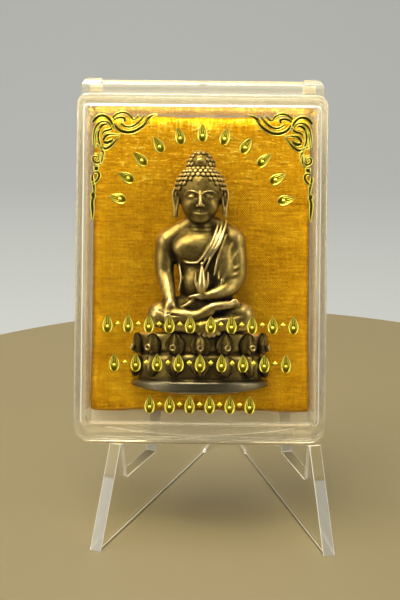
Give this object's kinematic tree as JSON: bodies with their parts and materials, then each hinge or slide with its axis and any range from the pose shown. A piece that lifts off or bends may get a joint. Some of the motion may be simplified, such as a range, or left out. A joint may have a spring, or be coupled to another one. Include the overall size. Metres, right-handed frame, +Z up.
{
  "type": "buddha amulet figure in a clear hinged box on a stand",
  "caption": "Cast bronze seated Buddha amulet on a gold cloth pad, in a clear hinged plastic case with gold corner scrolls, leaning on a clear crossed-plate stand.",
  "frame": {"origin": "middle of the whole thing's footprint, on the surface that the stand's feet rest on", "axes": "+Z up, -Y towards the viewer of the window, +X to the viewer's right"},
  "size_m": [0.0438, 0.0682, 0.0748],
  "materials": {
    "bronze": "aged cast bronze, dark in its recesses and worn bright on its high points",
    "gold_cloth": "gold lame, woven with metallic thread",
    "clear_plastic": "clear moulded plastic, glossy",
    "gold_foil": "raised gold foil stamping",
    "clear_acrylic": "clear cast acrylic sheet with polished faces and pale cut edges"
  },
  "bodies": {
    "root": {"amulet_figure": "bronze", "cloth_pad": "gold_cloth", "box_tray": "clear_plastic", "stand_left": "clear_acrylic", "stand_right": "clear_acrylic"},
    "lid": {"box_lid": "clear_plastic", "gold_scroll_left": "gold_foil", "gold_scroll_right": "gold_foil", "gold_arch": "gold_foil", "gold_bands": "gold_foil"}
  },
  "joints": [
    {"name": "lid_hinge", "type": "hinge", "parent": "root", "child": "lid", "pos_m": [-0.00089, -0.0038, 0.07315], "axis": [-1, 0, 0], "range_deg": [0, 120]}
  ]
}
